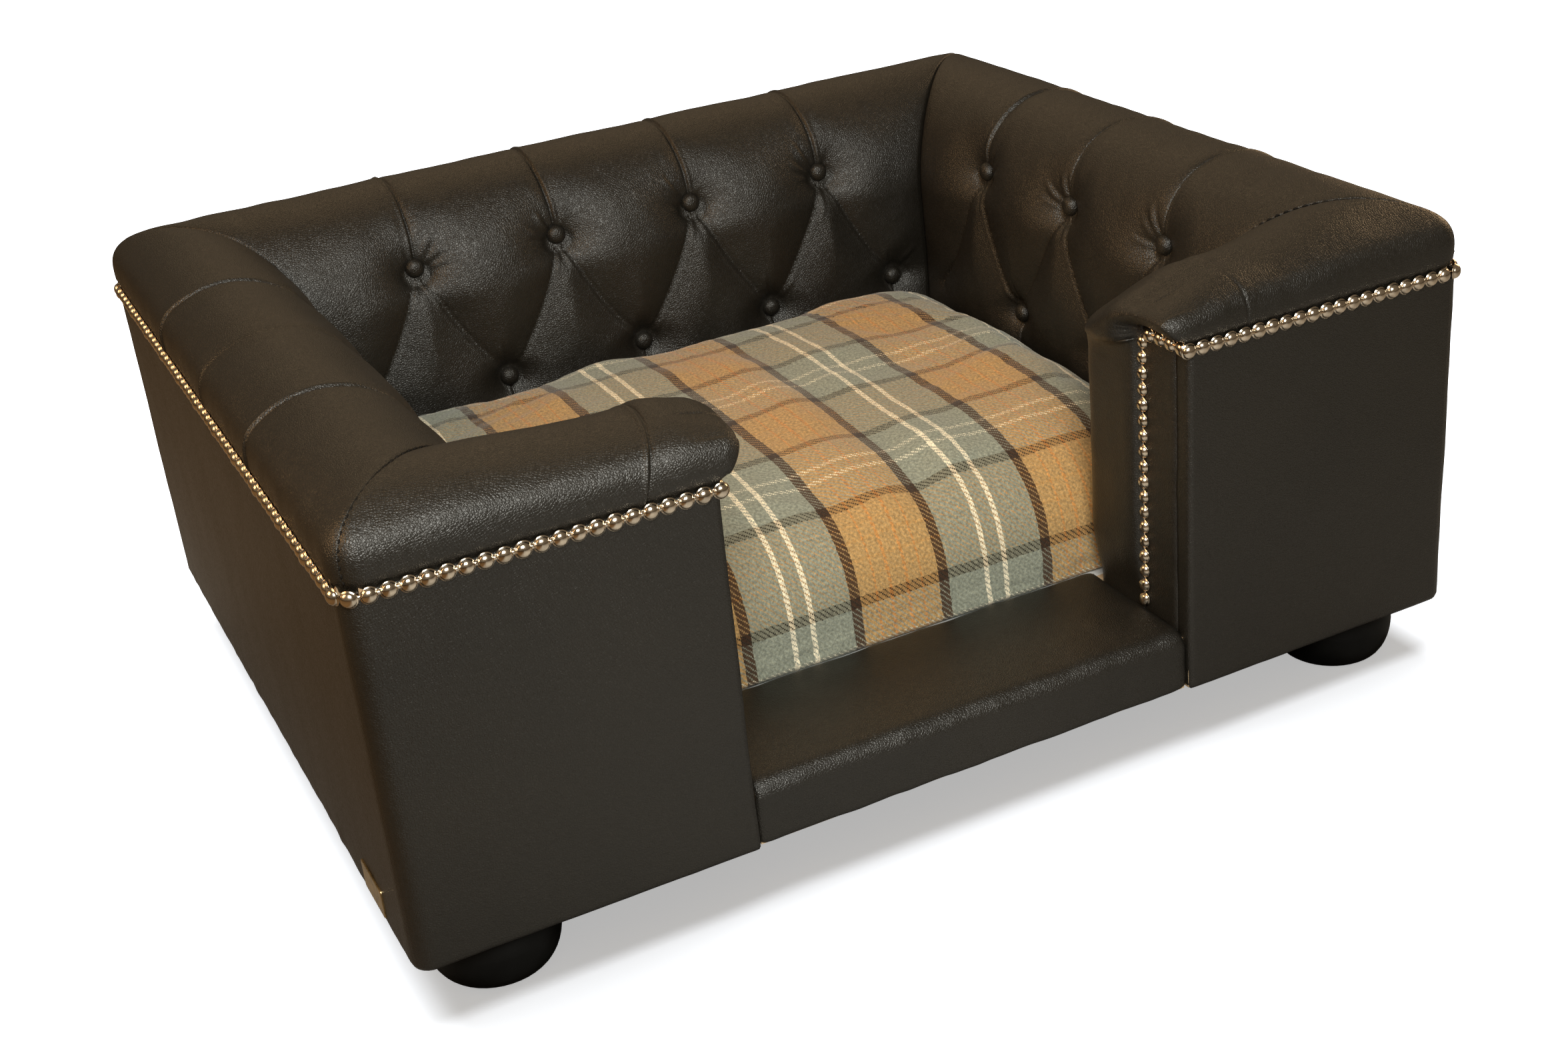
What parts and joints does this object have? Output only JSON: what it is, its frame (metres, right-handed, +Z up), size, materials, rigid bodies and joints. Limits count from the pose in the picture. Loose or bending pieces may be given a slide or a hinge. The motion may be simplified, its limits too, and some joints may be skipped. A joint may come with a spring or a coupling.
{
  "type": "dog bed",
  "caption": "Buttoned leather dog bed with rolled padded walls, studded edges, a front entry step, bun feet and a loose tartan cushion.",
  "frame": {"origin": "on the floor, in the middle of the footprint", "axes": "+Z up, +Y to the closed back, the entry faces -Y, +X to the right seen from the front"},
  "size_m": [0.888, 0.73, 0.385],
  "materials": {
    "leather": "semi-gloss pebbled hide",
    "foam": "open-cell foam",
    "softwood": "sawn pine",
    "plywood": "raw plywood",
    "nails": "polished nickel",
    "feet": "matt black stain",
    "steel": "zinc plated",
    "lining": "calico",
    "dust_cloth": "black non-woven",
    "tartan": "brushed woven tartan",
    "filling": "fibre filling",
    "zip": "woven tape with nylon coil",
    "zip_metal": "antique plated"
  },
  "bodies": {
    "bed_frame": {"bun_feet": "feet", "corner_blocks": "softwood", "deck_board": "plywood", "deck_lining": "lining", "dust_cover": "dust_cloth", "foot_bolts": "steel", "front_base_rail": "softwood", "left_base_rail": "softwood", "left_buttons": "leather", "left_foam": "foam", "left_inner_board": "plywood", "left_inner_cover": "leather", "left_nail_strip": "nails", "left_outer_board": "plywood", "left_outer_cover": "leather", "left_top_rail": "softwood", "left_wing_facing": "leather", "left_wing_foam": "foam", "left_wing_inner_board": "plywood", "left_wing_inner_cover": "leather", "left_wing_nail_strip": "nails", "left_wing_outer_board": "plywood", "left_wing_outer_cover": "leather", "left_wing_rail": "softwood", "rear_base_rail": "softwood", "rear_buttons": "leather", "rear_foam": "foam", "rear_inner_board": "plywood", "rear_inner_cover": "leather", "rear_nail_strip": "nails", "rear_outer_board": "plywood", "rear_outer_cover": "leather", "rear_top_rail": "softwood", "right_base_rail": "softwood", "right_buttons": "leather", "right_foam": "foam", "right_inner_board": "plywood", "right_inner_cover": "leather", "right_nail_strip": "nails", "right_outer_board": "plywood", "right_outer_cover": "leather", "right_top_rail": "softwood", "right_wing_facing": "leather", "right_wing_foam": "foam", "right_wing_inner_board": "plywood", "right_wing_inner_cover": "leather", "right_wing_nail_strip": "nails", "right_wing_outer_board": "plywood", "right_wing_outer_cover": "leather", "right_wing_rail": "softwood", "step_board": "plywood", "step_cover": "leather", "step_foam": "foam", "tee_nuts": "steel", "wall_posts": "softwood", "wing_buttons": "leather"},
    "cushion": {"cushion_cover": "tartan", "cushion_core": "filling", "zip_tape": "zip"},
    "zip_slider_body": {"zip_slider": "zip_metal"}
  },
  "joints": [
    {"name": "cushion_lift", "type": "slide", "parent": "bed_frame", "child": "cushion", "axis": [0, 0, 1], "range_m": [0, 0.35]},
    {"name": "zip_slide", "type": "slide", "parent": "cushion", "child": "zip_slider_body", "axis": [1, 0, 0], "range_m": [0, 0.436]}
  ]
}
